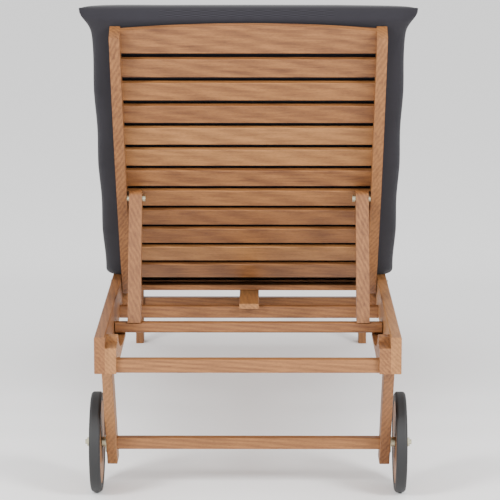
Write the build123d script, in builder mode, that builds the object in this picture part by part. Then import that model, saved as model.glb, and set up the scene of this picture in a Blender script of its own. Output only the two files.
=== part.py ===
from build123d import *
import os
from math import cos, radians, sin, atan2, degrees, hypot

# Reclining sun lounger in oiled hardwood with two wheels and a padded cushion.
# Frame: +Z up, floor at Z = 0, X across, Y along, head end at -Y, foot end at +Y.

# Driving dimensions, in millimetres and degrees
LENGTH = 1800.0
WIDTH = 600.0
SEAT_TOP = 370.0
BOARD = 21.0
RAIL_DEPTH = 73.0
EDGE = 2.0

BACK_RADIUS = 3300.0
BACK_LOW_ANGLE = 47.0
BACK_TOP_ANGLE = 60.18
BACK_LOW_REACH = 645.0
BACK_LOW_DROP = 45.0
STILE_DEPTH = 42.0
STILE_OUT = 277.0
STILE_IN = 256.0
SLAT_RECESS = 26.0
SLAT_THICK = 10.0
SLAT_WIDE = 45.5
BACK_SLAT_PITCH = 60.0
SLAT_PITCH = 61.5
TOP_SLAT_WIDE = 56.0
TOP_SLAT_ARCH = 12.0
BACK_SLATS = 12

PROP_REACH_ANGLE = 52.6
PROP_INSET = 8.0
ARM_OUT = 251.0
ARM_IN = 224.0
ARM_WIDE = 35.0
BAR_REACH = 336.0
BAR_DROP = 48.0
BAR_SIDE = 22.0
BAR_HALF = 277.0
RECLINE = 36.0
PROP_RATIO = -2.65

LEG_WIDE = 65.0
LEG_TOP_REACH = 57.0
LEG_LOW_REACH = 235.0
LEG_CLEAR = 55.0
LEG_IN = 269.0
LEG_OUT = 290.0
WHEEL_R = 103.0
DISC_R = 85.0
WHEEL_IN = 299.0
WHEEL_OUT = 321.5
AXLE_R = 5.0
AXLE_REACH = 232.0
PIN_R = 4.0
RUNNING = 0.05

SEAT_START = 674.0
SEAT_SLAT_TOP = 24.0
SEAT_SLAT_THICK = 12.0
SEAT_SLATS = 18
CUSHION_HALF = 316.0
CUSHION_THICK = 55.0

# Worked-out places
HEAD = -LENGTH / 2
RAIL_OUT = WIDTH / 2
RAIL_IN = RAIL_OUT - BOARD
RAIL_LOW = SEAT_TOP - RAIL_DEPTH
ARC_Y = HEAD + BACK_LOW_REACH + BACK_RADIUS * sin(radians(BACK_LOW_ANGLE))
ARC_Z = SEAT_TOP - BACK_LOW_DROP + BACK_RADIUS * cos(radians(BACK_LOW_ANGLE))
PIN_ANGLE = BACK_LOW_ANGLE + degrees(20.0 / BACK_RADIUS)


def back_point(angle, inset):
    """Point of the curved backrest: inset is measured from its rear face towards the sitter."""
    r = BACK_RADIUS - inset
    return (ARC_Y - r * sin(radians(angle)), ARC_Z - r * cos(radians(angle)))


PIVOT = back_point(PIN_ANGLE, STILE_DEPTH / 2)
PROP_PIVOT = back_point(PROP_REACH_ANGLE, PROP_INSET)
BAR = (HEAD + BAR_REACH, SEAT_TOP - BAR_DROP)


def turned(point, centre, angle):
    """A (Y, Z) point turned about a centre by the right-hand rule about +X."""
    y = point[0] - centre[0]
    z = point[1] - centre[1]
    c = cos(radians(angle))
    s = sin(radians(angle))
    return (centre[0] + y * c - z * s, centre[1] + y * s + z * c)


def bar_centre(recline):
    """Where the prop's crossbar is when the backrest has been lowered by an angle."""
    swung = turned(BAR, PROP_PIVOT, PROP_RATIO * recline)
    return turned(swung, PIVOT, recline)


os.makedirs("parts", exist_ok=True)
made = []


def finish(piece, node):
    """Label a piece and write its STEP file."""
    piece.part.label = node
    export_step(piece.part, f"parts/{node}.step")
    made.append(node)


def board(node, x, y, z, edge=EDGE):
    """A straight board between two X, two Y and two Z planes, long edges eased."""
    size = (x[1] - x[0], y[1] - y[0], z[1] - z[0])
    centre = ((x[0] + x[1]) / 2, (y[0] + y[1]) / 2, (z[0] + z[1]) / 2)
    run = (Axis.X, Axis.Y, Axis.Z)[size.index(max(size))]
    with BuildPart() as piece:
        with Locations(centre):
            Box(*size)
        fillet(piece.edges().filter_by(run), edge)
    finish(piece, node)


def side_profile(node, x, points, edge=EDGE, holes=()):
    """A board cut to a (Y, Z) outline, holes given as (Y, Z, radius)."""
    with BuildPart() as piece:
        with BuildSketch(Plane.YZ.offset(x[0])):
            with BuildLine():
                Polyline(*points, close=True)
            make_face()
        extrude(amount=x[1] - x[0])
        if edge:
            rims = piece.faces().filter_by(Axis.X).edges()
            fillet(rims, edge)
        for y, z, r in holes:
            with BuildSketch(Plane.YZ.offset(x[0])):
                with Locations((y, z)):
                    Circle(r)
            extrude(amount=x[1] - x[0], mode=Mode.SUBTRACT)
    finish(piece, node)


def both_sides(x_in, x_out):
    """The same stretch of X on the left (-X) and on the right (+X)."""
    return (("left", (-x_out, -x_in)), ("right", (x_in, x_out)))


# --- Fixed frame -----------------------------------------------------------
for side, x in both_sides(RAIL_IN, RAIL_OUT):
    with BuildPart() as rail:
        with Locations(((x[0] + x[1]) / 2, 0, SEAT_TOP - RAIL_DEPTH / 2)):
            Box(BOARD, LENGTH, RAIL_DEPTH)
        fillet(rail.edges().filter_by(Axis.Y), EDGE)
        with BuildSketch(Plane.YZ.offset(x[0])):
            with Locations(PIVOT):
                Circle(PIN_R)
        extrude(amount=BOARD, mode=Mode.SUBTRACT)
    finish(rail, f"{side}_side_rail")

BATTEN_IN = 257.0
BATTEN_END = 366.0
BATTEN_TOP = SEAT_TOP - 22.0
SWEEP = BAR_SIDE / 2 * 1.24
floor_points = []
STEPS = 14
for i in range(STEPS + 1):
    centre = bar_centre(RECLINE * i / STEPS)
    floor_points.append((centre[0], centre[1] - SWEEP - 3.0))
stop_y = BAR[0] + BAR_SIDE / 2 + 1.5
end_y = bar_centre(RECLINE)[0] - SWEEP - 8.0
batten_outline = [(HEAD, RAIL_LOW), (HEAD + BATTEN_END, RAIL_LOW)]
batten_outline += [(HEAD + BATTEN_END, BAR[1] + 6), (stop_y, BAR[1] + 6)]
batten_outline += [(stop_y, floor_points[0][1])] + floor_points
batten_outline += [(end_y, floor_points[-1][1]), (end_y, BATTEN_TOP), (HEAD, BATTEN_TOP)]
for side, x in both_sides(BATTEN_IN, RAIL_IN):
    side_profile(f"{side}_notched_batten", x, batten_outline, edge=0)

board("head_stretcher", (-BATTEN_IN, BATTEN_IN), (HEAD + 10, HEAD + 32), (RAIL_LOW, RAIL_LOW + 27))
board("seat_rear_crossbar", (-RAIL_IN, RAIL_IN), (HEAD + 549, HEAD + 571), (RAIL_LOW, RAIL_LOW + 26))
board("foot_rail", (-RAIL_IN, RAIL_IN), (-HEAD - BOARD, -HEAD), (RAIL_LOW, SEAT_TOP))
SLAT_LOW = SEAT_TOP - SEAT_SLAT_TOP - SEAT_SLAT_THICK
board("centre_batten", (-21, 21), (HEAD + 521, -HEAD - BOARD), (SLAT_LOW - 11, SLAT_LOW))
for side, x in both_sides(RAIL_IN - 20, RAIL_IN):
    board(f"{side}_slat_ledger", x, (HEAD + SEAT_START, -HEAD - BOARD), (RAIL_LOW, SLAT_LOW))

# Seat slats, in groups of three
for group in range(SEAT_SLATS // 3):
    with BuildPart() as slats:
        for i in range(3):
            y = HEAD + SEAT_START + SLAT_WIDE / 2 + SLAT_PITCH * (3 * group + i)
            with Locations((0, y, SLAT_LOW + SEAT_SLAT_THICK / 2)):
                Box(2 * RAIL_IN, SLAT_WIDE, SEAT_SLAT_THICK)
        fillet(slats.edges().filter_by(Axis.X), EDGE)
    finish(slats, f"seat_slats_{group + 1}")

# Legs
leg_near = (HEAD + LEG_TOP_REACH, RAIL_LOW)
leg_foot = (HEAD + LEG_LOW_REACH, LEG_CLEAR)
AXLE = (HEAD + AXLE_REACH, WHEEL_R)
leg_outline = [leg_near, (leg_near[0] + LEG_WIDE, RAIL_LOW), (leg_foot[0] + LEG_WIDE, LEG_CLEAR), leg_foot]
for side, x in both_sides(LEG_IN, LEG_OUT):
    side_profile(f"{side}_wheel_leg", x, leg_outline, holes=[(AXLE[0], AXLE[1], AXLE_R)])
board("wheel_leg_stretcher", (-LEG_IN, LEG_IN), (AXLE[0] - 17, AXLE[0] + 5), (AXLE[1] - 12, AXLE[1] + 12))
for side, x in both_sides(RAIL_OUT - 20, RAIL_OUT):
    board(f"{side}_foot_leg", x, (HEAD + 1680, HEAD + 1725), (0, RAIL_LOW))
board("foot_leg_stretcher", (20 - RAIL_OUT, RAIL_OUT - 20), (HEAD + 1691, HEAD + 1713), (93, 119))


def turned_ring(node, rings, side):
    """Coaxial round stretches along X at the axle: (X from, X to, outer radius, bore radius)."""
    with BuildPart() as piece:
        for x0, x1, outer, bore in rings:
            with BuildSketch(Plane.YZ.offset(side * x0)):
                with Locations(AXLE):
                    Circle(outer)
                    if bore:
                        Circle(bore, mode=Mode.SUBTRACT)
            extrude(amount=side * (x1 - x0))
    finish(piece, node)


for name, side in (("left", -1), ("right", 1)):
    gap = 0.5
    mid = (WHEEL_IN + WHEEL_OUT) / 2
    with BuildPart() as tyre:
        with BuildSketch(Plane.XY.offset(AXLE[1])):
            with Locations((side * mid, AXLE[0] + (WHEEL_R + DISC_R) / 2)):
                RectangleRounded(WHEEL_OUT - WHEEL_IN, WHEEL_R - DISC_R, 6)
        revolve(axis=Axis((0, AXLE[0], AXLE[1]), (1, 0, 0)), revolution_arc=360)
    finish(tyre, f"{name}_tyre")
    turned_ring(f"{name}_wheel_disc", [(WHEEL_IN + 1.5, WHEEL_OUT - 1.5, DISC_R, AXLE_R + RUNNING)], side)
    inner = [(LEG_OUT, LEG_OUT + 2, 22, AXLE_R), (LEG_OUT + 2, WHEEL_IN + 1.5 - gap, 10, AXLE_R)]
    turned_ring(f"{name}_inner_washer", inner, side)
    face = WHEEL_OUT - 1.5 + gap
    turned_ring(f"{name}_outer_washer", [(face, face + 2, 18.5, AXLE_R)], side)
    with BuildPart() as axle:
        with BuildSketch(Plane.YZ.offset(side * LEG_IN)):
            with Locations(AXLE):
                Circle(AXLE_R)
        extrude(amount=side * (face + 14 - LEG_IN))
    finish(axle, f"{name}_axle_bolt")
    with BuildPart() as nut:
        with BuildSketch(Plane.YZ.offset(side * (face + 2))):
            with Locations(AXLE):
                RegularPolygon(9.5, 6)
                Circle(AXLE_R, mode=Mode.SUBTRACT)
        extrude(amount=side * 8)
    finish(nut, f"{name}_axle_nut")

# --- Backrest --------------------------------------------------------------


def arc_strip(angles, insets):
    """Closed (Y, Z) outline between two angles and two depths of the curved backrest."""
    mid = sum(angles) / 2
    ThreePointArc(*(back_point(a, insets[0]) for a in (angles[0], mid, angles[1])))
    Line(back_point(angles[1], insets[0]), back_point(angles[1], insets[1]))
    ThreePointArc(*(back_point(a, insets[1]) for a in (angles[1], mid, angles[0])))
    Line(back_point(angles[0], insets[1]), back_point(angles[0], insets[0]))


for side, x in both_sides(STILE_IN, STILE_OUT):
    with BuildPart() as stile:
        with BuildSketch(Plane.YZ.offset(x[0])):
            with BuildLine():
                arc_strip((PIN_ANGLE, BACK_TOP_ANGLE), (0, STILE_DEPTH))
            make_face()
            with Locations(PIVOT):
                Circle(STILE_DEPTH / 2)
            with Locations(PIVOT):
                Circle(PIN_R + RUNNING, mode=Mode.SUBTRACT)
            with Locations(PROP_PIVOT):
                Circle(3, mode=Mode.SUBTRACT)
        extrude(amount=x[1] - x[0])
    finish(stile, f"{side}_stile")


def slat_plane(angle, inset):
    """Work plane on the backrest, X across, Y up the slope, normal towards the sitter."""
    y, z = back_point(angle, inset)
    a = radians(angle)
    return Plane(origin=(0, y, z), x_dir=(-1, 0, 0), z_dir=(0, sin(a), cos(a)))


SLAT_R = BACK_RADIUS - SLAT_RECESS - SLAT_THICK / 2
for i in range(BACK_SLATS):
    top = i == BACK_SLATS - 1
    wide = TOP_SLAT_WIDE if top else SLAT_WIDE
    low_edge = TOP_SLAT_WIDE + BACK_SLAT_PITCH * (BACK_SLATS - 1 - i)
    angle = BACK_TOP_ANGLE - degrees((low_edge - wide / 2) / SLAT_R)
    with BuildPart() as slat:
        with BuildSketch(slat_plane(angle, SLAT_RECESS)):
            Rectangle(2 * STILE_IN, wide)
            if top:
                with BuildLine():
                    ends = ((-STILE_IN, wide / 2), (0, wide / 2 + TOP_SLAT_ARCH), (STILE_IN, wide / 2))
                    ThreePointArc(*ends)
                    Line(ends[2], ends[0])
                make_face()
        extrude(amount=SLAT_THICK)
        fillet(slat.edges().filter_by(Axis.X), EDGE)
    finish(slat, f"back_slat_{i + 1:02d}")

for side, s in (("left", -1), ("right", 1)):
    with BuildPart() as pin:
        for x0, x1, r in ((STILE_IN - 6, STILE_IN - 0.5, 8), (STILE_IN - 0.5, RAIL_OUT, PIN_R)):
            with BuildSketch(Plane.YZ.offset(s * x0)):
                with Locations(PIVOT):
                    Circle(r)
            extrude(amount=s * (x1 - x0))
        with BuildSketch(Plane.YZ.offset(s * RAIL_OUT)):
            with Locations(PIVOT):
                Circle(9)
        extrude(amount=s * 3)
    finish(pin, f"{side}_backrest_bolt")
    with BuildPart() as pin:
        for x0, x1, r in ((ARM_IN - 6.5, ARM_IN - 0.5, 7), (ARM_IN - 0.5, STILE_OUT, 3)):
            with BuildSketch(Plane.YZ.offset(s * x0)):
                with Locations(PROP_PIVOT):
                    Circle(r)
            extrude(amount=s * (x1 - x0))
        with BuildSketch(Plane.YZ.offset(s * (ARM_OUT + 0.5))):
            with Locations(PROP_PIVOT):
                Circle(7)
        extrude(amount=s * (STILE_IN - ARM_OUT - 0.5))
    finish(pin, f"{side}_prop_bolt")

# --- Prop ------------------------------------------------------------------
lean = degrees(atan2(BAR[1] - PROP_PIVOT[1], BAR[0] - PROP_PIVOT[0]))
reach = hypot(BAR[1] - PROP_PIVOT[1], BAR[0] - PROP_PIVOT[0])
for side, x in both_sides(ARM_IN, ARM_OUT):
    with BuildPart() as arm:
        along = Plane(origin=(x[0], *PROP_PIVOT), x_dir=(0, cos(radians(lean)), sin(radians(lean))), z_dir=(1, 0, 0))
        with BuildSketch(along):
            Circle(ARM_WIDE / 2)
            with Locations((reach / 2, 0)):
                Rectangle(reach, ARM_WIDE)
            Circle(3 + RUNNING, mode=Mode.SUBTRACT)
        extrude(amount=x[1] - x[0])
        bar_top = BAR[1] + BAR_SIDE / 2
        with Locations((sum(x) / 2, BAR[0], bar_top - 50)):
            Box(60, 160, 100, mode=Mode.SUBTRACT)
    finish(arm, f"{side}_prop_arm")
with BuildPart() as bar:
    with Locations((0, *BAR)):
        Box(2 * BAR_HALF, BAR_SIDE, BAR_SIDE)
    fillet(bar.edges().filter_by(Axis.X), 5)
finish(bar, "prop_crossbar")

# --- Cushion ---------------------------------------------------------------
CUSHION_GAP = 0.3
cushion_low = PIN_ANGLE + degrees(16.0 / BACK_RADIUS)
cushion_top = BACK_TOP_ANGLE + degrees(34.0 / BACK_RADIUS)
with BuildPart() as back_cushion:
    with BuildSketch(Plane.YZ.offset(-CUSHION_HALF)):
        with BuildLine():
            arc_strip((cushion_low, cushion_top), (STILE_DEPTH + CUSHION_GAP, STILE_DEPTH + CUSHION_THICK))
        make_face()
    extrude(amount=2 * CUSHION_HALF)
    rims = back_cushion.edges().filter_by(GeomType.LINE).filter_by(lambda e: abs(e.tangent_at(0).X) < 0.5)
    fillet(rims, 12)
finish(back_cushion, "back_cushion")

SEAT_CUSHION_START = HEAD + 696
with BuildPart() as seat_cushion:
    span = -HEAD - SEAT_CUSHION_START
    low = SEAT_TOP - SEAT_SLAT_TOP + CUSHION_GAP
    with Locations((0, SEAT_CUSHION_START + span / 2 - 11, (low + SEAT_TOP + 1) / 2)):
        Box(2 * RAIL_IN - 2, span - 24, SEAT_TOP + 1 - low)
    with Locations((0, SEAT_CUSHION_START + span / 2, SEAT_TOP + CUSHION_GAP + 16)):
        Box(2 * CUSHION_HALF, span, 32)
    fillet(seat_cushion.edges().filter_by(Axis.Z).sort_by(SortBy.DISTANCE)[-4:], 12)
finish(seat_cushion, "seat_cushion")

print("pivot", PIVOT, "prop pivot", PROP_PIVOT, "bar", BAR, "axle", AXLE)
for k in range(0, 5):
    print("crossbar at", round(RECLINE * k / 4, 1), [round(v, 1) for v in bar_centre(RECLINE * k / 4)])
print(len(made), "nodes")
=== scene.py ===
import itertools
import math

import bpy
import numpy as np
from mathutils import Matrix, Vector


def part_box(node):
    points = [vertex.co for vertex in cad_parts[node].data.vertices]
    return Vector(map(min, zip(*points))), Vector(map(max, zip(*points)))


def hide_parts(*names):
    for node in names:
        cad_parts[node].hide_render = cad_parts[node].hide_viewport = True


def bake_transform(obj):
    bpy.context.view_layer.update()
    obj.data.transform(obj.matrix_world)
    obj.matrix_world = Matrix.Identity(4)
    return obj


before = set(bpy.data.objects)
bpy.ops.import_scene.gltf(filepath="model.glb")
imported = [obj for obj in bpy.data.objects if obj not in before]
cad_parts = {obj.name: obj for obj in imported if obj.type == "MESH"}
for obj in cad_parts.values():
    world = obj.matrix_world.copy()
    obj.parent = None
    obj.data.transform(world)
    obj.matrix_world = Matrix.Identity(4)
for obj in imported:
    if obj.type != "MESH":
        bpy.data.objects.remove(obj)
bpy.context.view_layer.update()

# A wooden sun lounger. Everything is in metres, +Z up, head end at -Y, foot end at +Y.

# --- Places taken from the frame ---------------------------------------------
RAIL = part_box("left_side_rail")
HEAD_END = RAIL[0].y
RAIL_TOP = RAIL[1].z

# --- Curved backrest: the arc its cushion lies on ----------------------------
BACK_RADIUS = 3.3
LOW_ANGLE = math.radians(47.0)
TOP_ANGLE = math.radians(60.18)
LOW_REACH = 0.645
LOW_DROP = 0.045
ARC_Y = HEAD_END + LOW_REACH + BACK_RADIUS * math.sin(LOW_ANGLE)
ARC_Z = RAIL_TOP - LOW_DROP + BACK_RADIUS * math.cos(LOW_ANGLE)

# --- Camera ------------------------------------------------------------------
CAMERA_AWAY = 4.955
CAMERA_HIGH = 1.046
CAMERA_SIDE = 0.025
CAMERA_PITCH = math.radians(9.99)
CAMERA_YAW = math.radians(0.24)
CAMERA_LENS = 187.2
CAMERA_SIGHT = 50


def add_camera():
    """A long lens behind the head end, looking slightly down."""
    data = bpy.data.cameras.new("camera")
    data.lens = CAMERA_LENS
    data.clip_end = CAMERA_SIGHT
    cam = bpy.data.objects.new("camera", data)
    cam.location = (CAMERA_SIDE, HEAD_END - CAMERA_AWAY, RAIL_TOP + CAMERA_HIGH)
    cam.rotation_euler = (math.pi / 2 - CAMERA_PITCH, 0, CAMERA_YAW)
    bpy.context.collection.objects.link(cam)
    bpy.context.scene.camera = cam


# --- Shared node groups ------------------------------------------------------
def new_group(name, ins, outs):
    """An empty shader node group with its sockets; ins are (name, kind, default)."""
    g = bpy.data.node_groups.new(name, "ShaderNodeTree")
    for label, kind, value in ins:
        s = g.interface.new_socket(label, in_out="INPUT", socket_type=kind)
        s.default_value = value
    for label, kind in outs:
        g.interface.new_socket(label, in_out="OUTPUT", socket_type=kind)
    return g, g.nodes.new("NodeGroupInput"), g.nodes.new("NodeGroupOutput")


def put(tree, kind, **settings):
    """A node with attributes set; names starting with in_ set an input by name or index."""
    n = tree.nodes.new(kind)
    for key, value in settings.items():
        if key.startswith("in_"):
            name = key[3:]
            n.inputs[int(name) if name.isdigit() else name.replace("_", " ")].default_value = value
        else:
            setattr(n, key, value)
    return n


def ramp(tree, stops):
    """A colour ramp from (place, colour) pairs."""
    n = tree.nodes.new("ShaderNodeValToRGB")
    cr = n.color_ramp
    while len(cr.elements) > 1:
        cr.elements.remove(cr.elements[-1])
    cr.elements[0].position, cr.elements[0].color = stops[0][0], (*stops[0][1], 1)
    for place, colour in stops[1:]:
        cr.elements.new(place).color = (*colour, 1)
    return n


COLOR, FLOAT, VECTOR = "NodeSocketColor", "NodeSocketFloat", "NodeSocketVector"


def grain_group():
    """Acacia grain: long wavy figure, fine pores and darker heart streaks along the board."""
    ins = [("Vector", VECTOR, (0, 0, 0)), ("Light", COLOR, (0.5, 0.25, 0.09, 1)),
           ("Dark", COLOR, (0.16, 0.06, 0.02, 1)), ("Seed", FLOAT, 0.0)]
    g, gi, go = new_group("acacia_grain", ins, [("Color", COLOR), ("Roughness", FLOAT), ("Height", FLOAT)])
    link = g.links.new
    seed = put(g, "ShaderNodeCombineXYZ")
    for axis in ("X", "Y", "Z"):
        link(gi.outputs["Seed"], seed.inputs[axis])
    at = put(g, "ShaderNodeVectorMath", operation="ADD")
    link(gi.outputs["Vector"], at.inputs[0])
    link(seed.outputs[0], at.inputs[1])
    figure = put(g, "ShaderNodeTexNoise", in_Scale=1.6, in_Detail=5.0, in_Roughness=0.55, in_Distortion=1.2)
    link(at.outputs[0], figure.inputs["Vector"])
    rings = put(g, "ShaderNodeTexWave", wave_type="BANDS", bands_direction="DIAGONAL", in_Scale=1.1,
                in_Distortion=4.0, in_Detail=3.0, in_Detail_Scale=1.4)
    link(at.outputs[0], rings.inputs["Vector"])
    pores = put(g, "ShaderNodeTexNoise", in_Scale=26.0, in_Detail=3.0, in_Roughness=0.7)
    link(at.outputs[0], pores.inputs["Vector"])
    mix = put(g, "ShaderNodeMix", data_type="FLOAT", in_0=0.22)
    link(figure.outputs["Fac"], mix.inputs[2])
    link(rings.outputs["Fac"], mix.inputs[3])
    tone = put(g, "ShaderNodeMapRange", in_1=0.25, in_2=0.75)
    link(mix.outputs[0], tone.inputs[0])
    base = put(g, "ShaderNodeMix", data_type="RGBA")
    link(tone.outputs[0], base.inputs[0])
    link(gi.outputs["Dark"], base.inputs[6])
    link(gi.outputs["Light"], base.inputs[7])
    pore_mask = put(g, "ShaderNodeMapRange", in_1=0.34, in_2=0.5, in_3=0.62, in_4=1.0)
    link(pores.outputs["Fac"], pore_mask.inputs[0])
    dark = put(g, "ShaderNodeMix", data_type="RGBA", blend_type="MULTIPLY", in_0=1.0)
    link(base.outputs[2], dark.inputs[6])
    link(pore_mask.outputs[0], dark.inputs[7])
    link(dark.outputs[2], go.inputs["Color"])
    rough = put(g, "ShaderNodeMapRange", in_1=0.3, in_2=0.8, in_3=0.62, in_4=0.42)
    link(pores.outputs["Fac"], rough.inputs[0])
    link(rough.outputs[0], go.inputs["Roughness"])
    link(pore_mask.outputs[0], go.inputs["Height"])
    return g


def weave_group():
    """Plain woven cloth from a UV in metres: warp and weft ribs with uneven yarn."""
    ins = [("UV", VECTOR, (0, 0, 0)), ("Yarn", FLOAT, 0.0011), ("Light", COLOR, (0.07, 0.07, 0.08, 1)),
           ("Dark", COLOR, (0.02, 0.02, 0.024, 1))]
    g, gi, go = new_group("cloth_weave", ins, [("Color", COLOR), ("Roughness", FLOAT), ("Height", FLOAT)])
    link = g.links.new
    rate = put(g, "ShaderNodeMath", operation="DIVIDE", in_0=math.pi)
    link(gi.outputs["Yarn"], rate.inputs[1])
    scaled = put(g, "ShaderNodeVectorMath", operation="SCALE")
    link(gi.outputs["UV"], scaled.inputs[0])
    link(rate.outputs[0], scaled.inputs["Scale"])
    parts = put(g, "ShaderNodeSeparateXYZ")
    link(scaled.outputs[0], parts.inputs[0])
    waves = []
    for axis in ("X", "Y"):
        s = put(g, "ShaderNodeMath", operation="SINE")
        link(parts.outputs[axis], s.inputs[0])
        waves.append(s)
    cross = put(g, "ShaderNodeMath", operation="MULTIPLY")
    link(waves[0].outputs[0], cross.inputs[0])
    link(waves[1].outputs[0], cross.inputs[1])
    height = put(g, "ShaderNodeMapRange", in_1=-1.0, in_2=1.0)
    link(cross.outputs[0], height.inputs[0])
    fade = put(g, "ShaderNodeTexNoise", in_Scale=9.0, in_Detail=4.0)
    link(gi.outputs["UV"], fade.inputs["Vector"])
    tone = put(g, "ShaderNodeMath", operation="MULTIPLY")
    link(height.outputs[0], tone.inputs[0])
    link(fade.outputs["Fac"], tone.inputs[1])
    mix = put(g, "ShaderNodeMix", data_type="RGBA")
    link(tone.outputs[0], mix.inputs[0])
    link(gi.outputs["Dark"], mix.inputs[6])
    link(gi.outputs["Light"], mix.inputs[7])
    link(mix.outputs[2], go.inputs["Color"])
    rough = put(g, "ShaderNodeMapRange", in_3=0.95, in_4=0.8)
    link(height.outputs[0], rough.inputs[0])
    link(rough.outputs[0], go.inputs["Roughness"])
    link(height.outputs[0], go.inputs["Height"])
    return g


GRAIN = grain_group()
WEAVE = weave_group()


def shaded(name, group, group_values, bump, source, stretch=None, **shell):
    """A material whose colour, roughness and bump come from one group on Object or UV coordinates."""
    m = bpy.data.materials.new(name)
    m.use_nodes = True
    t = m.node_tree
    bsdf = t.nodes["Principled BSDF"]
    for key, value in shell.items():
        bsdf.inputs[key.replace("_", " ")].default_value = value
    coord = t.nodes.new("ShaderNodeTexCoord")
    where = coord.outputs[source]
    if stretch:
        mapping = put(t, "ShaderNodeMapping", in_Scale=stretch)
        t.links.new(where, mapping.inputs["Vector"])
        where = mapping.outputs[0]
    g = t.nodes.new("ShaderNodeGroup")
    g.node_tree = group
    t.links.new(where, g.inputs[0])
    for key, value in group_values.items():
        g.inputs[key].default_value = value
    relief = put(t, "ShaderNodeBump", in_Strength=bump[0], in_Distance=bump[1])
    t.links.new(g.outputs["Height"], relief.inputs["Height"])
    t.links.new(g.outputs["Color"], bsdf.inputs["Base Color"])
    t.links.new(g.outputs["Roughness"], bsdf.inputs["Roughness"])
    t.links.new(relief.outputs["Normal"], bsdf.inputs["Normal"])
    return m


# Grain is stretched twelve times along the board: across the lounger, along it or up it
ACROSS, ALONG, UP = (5, 60, 60), (60, 5, 60), (60, 60, 5)
WOOD_TONES = [((0.30, 0.125, 0.036), (0.15, 0.056, 0.016)), ((0.26, 0.105, 0.030), (0.13, 0.046, 0.013)),
              ((0.35, 0.155, 0.048), (0.19, 0.078, 0.024)), ((0.28, 0.115, 0.034), (0.115, 0.04, 0.011))]
SEED_STEP = 3.7
boards = itertools.count()


def wood(direction):
    """The next board's oiled acacia, grain along the given direction, each board its own tone and figure."""
    board = next(boards)
    light, dark = WOOD_TONES[(board * 3 + board // 4) % len(WOOD_TONES)]
    values = {"Light": (*light, 1), "Dark": (*dark, 1), "Seed": (board + 1) * SEED_STEP}
    return shaded(f"acacia_{board + 1:02d}", GRAIN, values, (0.25, 0.0006), "Object", direction,
                  Specular_IOR_Level=0.4, Coat_Weight=0.06, Coat_Roughness=0.35)


def speckle_group():
    """Soft mottled tone for rubber and plated steel."""
    ins = [("Vector", VECTOR, (0, 0, 0)), ("Light", COLOR, (0.05, 0.05, 0.05, 1)),
           ("Dark", COLOR, (0.02, 0.02, 0.02, 1)), ("Low", FLOAT, 0.5), ("High", FLOAT, 0.7)]
    g, gi, go = new_group("mottle", ins, [("Color", COLOR), ("Roughness", FLOAT), ("Height", FLOAT)])
    link = g.links.new
    n = put(g, "ShaderNodeTexNoise", in_Scale=60.0, in_Detail=6.0, in_Roughness=0.65)
    link(gi.outputs["Vector"], n.inputs["Vector"])
    mix = put(g, "ShaderNodeMix", data_type="RGBA")
    link(n.outputs["Fac"], mix.inputs[0])
    link(gi.outputs["Dark"], mix.inputs[6])
    link(gi.outputs["Light"], mix.inputs[7])
    link(mix.outputs[2], go.inputs["Color"])
    rough = put(g, "ShaderNodeMapRange")
    link(n.outputs["Fac"], rough.inputs[0])
    link(gi.outputs["Low"], rough.inputs[3])
    link(gi.outputs["High"], rough.inputs[4])
    link(rough.outputs[0], go.inputs["Roughness"])
    link(n.outputs["Fac"], go.inputs["Height"])
    return g


MOTTLE = speckle_group()


RUBBER = {"Light": (0.014, 0.014, 0.015, 1), "Dark": (0.005, 0.005, 0.005, 1), "Low": 0.55, "High": 0.75}
ZINC = {"Light": (0.72, 0.68, 0.50, 1), "Dark": (0.42, 0.40, 0.27, 1), "Low": 0.22, "High": 0.45}
STEEL_WORDS = ("washer", "bolt", "nut")
LONG_WORDS = ("side_rail", "batten", "ledger")
UPRIGHT_WORDS = ("stile", "arm")


def dress_frame():
    """Give every carried-over CAD node its own board of wood, rubber or plated steel."""
    rubber = shaded("tyre_rubber", MOTTLE, RUBBER, (0.2, 0.0004), "Object")
    zinc = shaded("passivated_zinc", MOTTLE, ZINC, (0.1, 0.0002), "Object", Metallic=1.0)
    for name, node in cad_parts.items():
        if "tyre" in name:
            finish = rubber
        elif any(word in name for word in STEEL_WORDS):
            finish = zinc
        elif any(word in name for word in LONG_WORDS):
            finish = wood(ALONG)
        elif any(word in name for word in UPRIGHT_WORDS) or name.endswith("leg"):
            finish = wood(UP)
        else:
            finish = wood(ACROSS)
        node.data.materials.clear()
        node.data.materials.append(finish)


# --- Cushion -----------------------------------------------------------------
CUSHION_HALF = 0.317
CUSHION_THICK = 0.050
CUSHION_GAP = 0.0425
SEAT_GAP = 0.0015
OVER_TOP = 0.026
SHORT_OF_PIVOT = 0.034
FOLD = 0.05
OVER_FOOT = 0.004
SLAB = 1.92
ACROSS_STEPS = 120
LONG_STEPS = 300

SIDE_POWER = 0.22
FACE_POWER = 0.55
END_ROUND = 0.012
END_LEAST = 0.02
CHANNEL_PITCH = 0.205
CHANNELS = (CHANNEL_PITCH, 2 * CHANNEL_PITCH, 3 * CHANNEL_PITCH)
CHANNEL_DEEP = 0.42
CHANNEL_WIDE = 0.012
CROWN_SHARE = 0.22
SIDE_PULL = 0.0025
EAR_OUT = 0.022
EAR_LONG = 0.03
CLOTH_ROUND = 1.3

CLOTH = {"Yarn": 0.0011, "Light": (0.026, 0.024, 0.031, 1), "Dark": (0.009, 0.008, 0.011, 1)}


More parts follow.
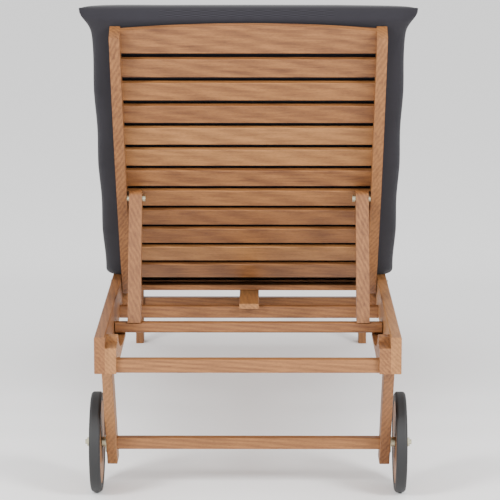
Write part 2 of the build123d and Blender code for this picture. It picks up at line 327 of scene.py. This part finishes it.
def cushion_path(s):
    """Rear face of the cushion, s metres down from its top edge: Y, Z and the normal towards the sitter.

    The slope follows the backrest's arc, angle = top angle - s / radius, turns evenly to level over the
    fold, and stays level on the seat. Y and Z are the running sums of its cosine and sine.
    """
    reach = BACK_RADIUS - CUSHION_GAP
    arc_len = reach * (TOP_ANGLE - LOW_ANGLE) - SHORT_OF_PIVOT
    fold_from = OVER_TOP + arc_len
    low_slope = TOP_ANGLE - arc_len / reach
    on_arc = TOP_ANGLE - (s - OVER_TOP) / reach
    in_fold = low_slope * np.clip(1 - (s - OVER_TOP - arc_len) / FOLD, 0, 1)
    angle = np.where(s < fold_from, on_arc, in_fold)
    ds = np.diff(s, prepend=s[0])
    top = TOP_ANGLE + OVER_TOP / reach
    y = np.cumsum(np.cos(angle) * ds) + ARC_Y - reach * math.sin(top)
    z = -np.cumsum(np.sin(angle) * ds) + ARC_Z - reach * math.cos(top)
    z = np.where(s > fold_from + FOLD, RAIL_TOP + SEAT_GAP, z)
    return y, z, np.sin(angle), np.cos(angle)


def build_cushion():
    """One padded slab folded at the hinge.

    Each section is a superellipse, x = half * sign(cos t) |cos t|^p and depth = thick / 2 * (1 + sign(sin t)
    |sin t|^q). Its thickness sinks in a bell curve at each sewn channel and rounds off at both ends, its sides
    pull in between channels, the top corners stand out as ears, and the sitter's face has low ripples.
    """
    s = np.linspace(0, SLAB, LONG_STEPS)
    y, z, ny, nz = cushion_path(s)
    keep = y <= -HEAD_END + OVER_FOOT
    s, y, z, ny, nz = (a[keep] for a in (s, y, z, ny, nz))
    rows, n = len(s), ACROSS_STEPS
    t = np.linspace(0, 2 * math.pi, n, endpoint=False)
    cx = np.sign(np.cos(t)) * np.abs(np.cos(t)) ** SIDE_POWER
    cz = np.sign(np.sin(t)) * np.abs(np.sin(t)) ** FACE_POWER
    cap = np.clip(np.minimum(s, s[-1] - s) / END_ROUND, END_LEAST, 1)
    cap = np.sqrt(np.clip(1 - (1 - cap) ** 2, 0.0, 1))
    crown = np.ones(rows)
    for line in CHANNELS:
        crown -= CHANNEL_DEEP * np.exp(-((s - line) / CHANNEL_WIDE) ** 2)
    pull = SIDE_PULL * np.sin(np.pi * s / CHANNEL_PITCH) ** 2
    ear = EAR_OUT * np.exp(-(s / EAR_LONG) ** 2)
    x = (CUSHION_HALF - pull + ear)[:, None] * cx
    thick = CUSHION_THICK * cap * (1 - CROWN_SHARE + CROWN_SHARE * crown)
    lift = thick[:, None] * (0.5 + 0.5 * cz) + (1 - cap)[:, None] * CUSHION_THICK * 0.5
    ripple = 0.0018 * np.sin(37 * s)[:, None] * np.cos(9 * x)
    ripple = ripple + 0.0012 * np.sin(83 * s + 1)[:, None] * np.sin(17 * x)
    lift = lift + ripple * (cz > 0) * cap[:, None]
    points = np.stack([x, y[:, None] + ny[:, None] * lift, z[:, None] + nz[:, None] * lift], axis=-1)
    a = np.arange(rows - 1)[:, None] * n + np.arange(n)
    b = np.arange(rows - 1)[:, None] * n + (np.arange(n) + 1) % n
    faces = np.stack([a, b, b + n, a + n], axis=-1).reshape(-1, 4)[:, ::-1]
    ends = [list(range(n)), list(range((rows - 1) * n, rows * n))[::-1]]
    mesh = bpy.data.meshes.new("cushion")
    mesh.from_pydata(points.reshape(-1, 3).tolist(), [], faces.tolist() + ends)
    uv = mesh.uv_layers.new(name="cloth")
    cloth_at = np.stack([np.tile(t / (2 * math.pi) * CLOTH_ROUND, rows), np.repeat(s, n)], axis=-1)
    loops = np.zeros(len(mesh.loops), dtype=np.int32)
    mesh.loops.foreach_get("vertex_index", loops)
    uv.data.foreach_set("uv", cloth_at[loops].astype(np.float32).ravel())
    mesh.polygons.foreach_set("use_smooth", np.ones(len(mesh.polygons), dtype=bool))
    cushion = bpy.data.objects.new("cushion", mesh)
    bpy.context.collection.objects.link(cushion)
    mesh.materials.append(shaded("anthracite_cloth", WEAVE, CLOTH, (0.35, 0.0004), "UV",
                                 Sheen_Weight=0.08, Specular_IOR_Level=0.25))
    return cushion


# --- Floor and light ---------------------------------------------------------
FLOOR_HALF = 40.0
SKY_STRENGTH = 1.35
LAMP_POWER = 190
LAMP_SIZE = 1.1
LAMP_OUT = 2.6
LAMP_HIGH = 2.4
LAMP_AIM = (0, HEAD_END + 0.4, 0.6)


def add_floor():
    """A wide pale floor that fills the view."""
    h = FLOOR_HALF
    mesh = bpy.data.meshes.new("floor")
    mesh.from_pydata([(-h, -h, 0), (h, -h, 0), (h, h, 0), (-h, h, 0)], [], [(0, 1, 2, 3)])
    floor = bpy.data.objects.new("floor", mesh)
    bpy.context.collection.objects.link(floor)
    white = bpy.data.materials.new("floor_white")
    white.use_nodes = True
    bsdf = white.node_tree.nodes["Principled BSDF"]
    bsdf.inputs["Base Color"].default_value = (0.93, 0.93, 0.93, 1)
    bsdf.inputs["Roughness"].default_value = 0.9
    mesh.materials.append(white)


def add_light():
    """A white sky and one broad soft lamp on each side, behind the head end."""
    world = bpy.data.worlds.new("world")
    bpy.context.scene.world = world
    world.use_nodes = True
    sky = world.node_tree.nodes["Background"]
    sky.inputs["Color"].default_value = (1, 1, 1, 1)
    sky.inputs["Strength"].default_value = SKY_STRENGTH
    for side in (-1, 1):
        data = bpy.data.lights.new("key", "AREA")
        data.energy = LAMP_POWER
        data.size = LAMP_SIZE
        lamp = bpy.data.objects.new("key", data)
        lamp.location = (side * LAMP_OUT, HEAD_END - LAMP_OUT, LAMP_HIGH)
        aim = np.array(LAMP_AIM) - np.array(lamp.location)
        tilt = math.atan2(math.hypot(aim[0], aim[1]), -aim[2])
        lamp.rotation_euler = (tilt, 0, math.atan2(-aim[0], aim[1]))
        bpy.context.collection.objects.link(lamp)


add_camera()
dress_frame()
cushion = build_cushion()
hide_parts("back_cushion", "seat_cushion")
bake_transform(cushion)
add_floor()
add_light()
